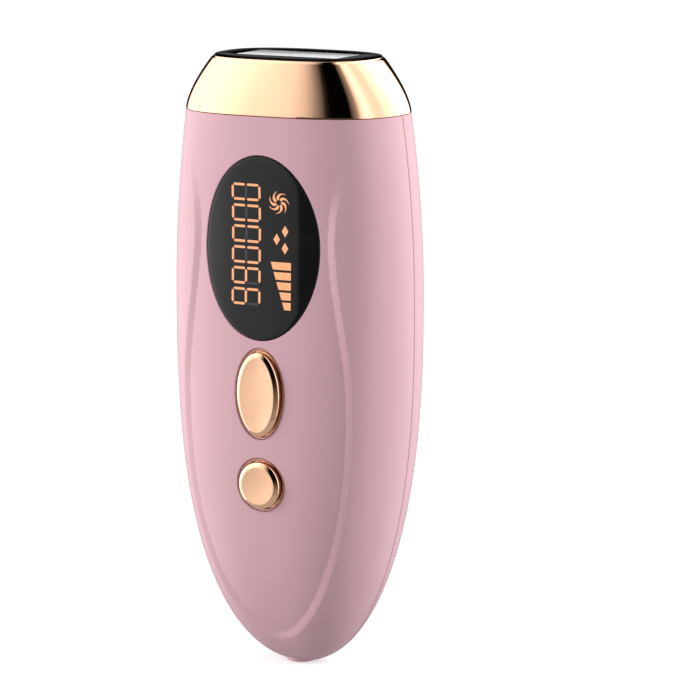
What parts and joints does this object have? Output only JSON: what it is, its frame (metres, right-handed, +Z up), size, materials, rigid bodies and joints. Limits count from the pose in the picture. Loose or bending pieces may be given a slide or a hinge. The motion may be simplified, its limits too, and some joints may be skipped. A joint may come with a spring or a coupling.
{
  "type": "ipl hair remover",
  "caption": "Hand-held flash hair remover: tapered pink shell, mirror rose-gold head with a rectangular flash window, oval display, two press buttons, cooling fan and DC inlet.",
  "frame": {"origin": "centre of the DC inlet's mouth at the tail", "axes": "+Z up the body from the tail to the treatment window, -Y out of the front face with the display, +X to the right as seen from the front"},
  "size_m": [0.07, 0.0421, 0.1655],
  "materials": {
    "shell_pink": "satin moulded pink ABS",
    "gold_mirror": "mirror rose-gold vacuum plating on ABS",
    "gold_ring": "satin rose plating",
    "black_gloss": "gloss black",
    "black_matt": "fine-textured black",
    "lens_smoke": "smoked gloss acrylic",
    "filter_glass": "clear filter glass",
    "lamp_glass": "clear quartz",
    "aluminium": "bright rolled and extruded",
    "steel": "zinc plated",
    "brass": "turned",
    "silicone": "matt white silicone",
    "circuit": "green solder mask",
    "component": "moulded epoxy",
    "capacitor": "shrink sleeve",
    "ferrite": "sintered ferrite",
    "copper": "enamelled copper wire",
    "tape_red": "wound tape",
    "lead_red": "silicone insulated lead",
    "lead_black": "PVC insulated lead",
    "connector": "ivory nylon"
  },
  "bodies": {
    "housing": {"front_shell": "shell_pink", "rear_shell": "shell_pink", "inlet_collar": "shell_pink", "head_collar": "gold_mirror", "flash_button_ring": "gold_ring", "level_button_ring": "gold_ring", "head_bezel": "black_gloss", "filter_glass": "filter_glass", "display_lens": "lens_smoke", "head_plate": "black_matt", "lamp_frame": "black_matt", "display_frame": "black_matt", "display_module": "black_matt", "air_duct": "black_matt", "fan_frame": "black_matt", "dc_jack": "black_matt", "reflector": "aluminium", "heat_sink": "aluminium", "flash_lamp": "lamp_glass", "lamp_electrodes": "steel", "fan_screws": "steel", "board_screws": "steel", "case_screws": "steel", "dc_jack_pin": "steel", "lamp_end_holders": "silicone", "board_header": "connector", "lamp_leads": "lead_red", "jack_leads": "lead_red", "fan_lead": "lead_black", "thermal_cutout": "component", "tact_switches": "component", "board_chips": "component", "power_transistor": "component", "control_board": "circuit", "main_board": "circuit", "board_standoffs": "brass", "main_capacitor": "capacitor", "transformer_core": "ferrite", "transformer_winding": "copper", "trigger_coil": "tape_red"},
    "flash_button": {"flash_button": "gold_mirror", "flash_plunger": "connector"},
    "level_button": {"level_button": "gold_mirror", "level_plunger": "connector"},
    "fan": {"fan_rotor": "black_matt"}
  },
  "joints": [
    {"name": "flash_press", "type": "slide", "parent": "housing", "child": "flash_button", "axis": [0, 1, 0], "range_m": [0, 0.0005], "stiffness_N_per_m": 800, "springref_m": -0.0006},
    {"name": "level_press", "type": "slide", "parent": "housing", "child": "level_button", "axis": [0, 1, 0], "range_m": [0, 0.0005], "stiffness_N_per_m": 800, "springref_m": -0.0006},
    {"name": "fan_spin", "type": "hinge", "parent": "housing", "child": "fan", "pos_m": [0, 0.012, 0.112], "axis": [0, 1, 0], "continuous": true}
  ]
}
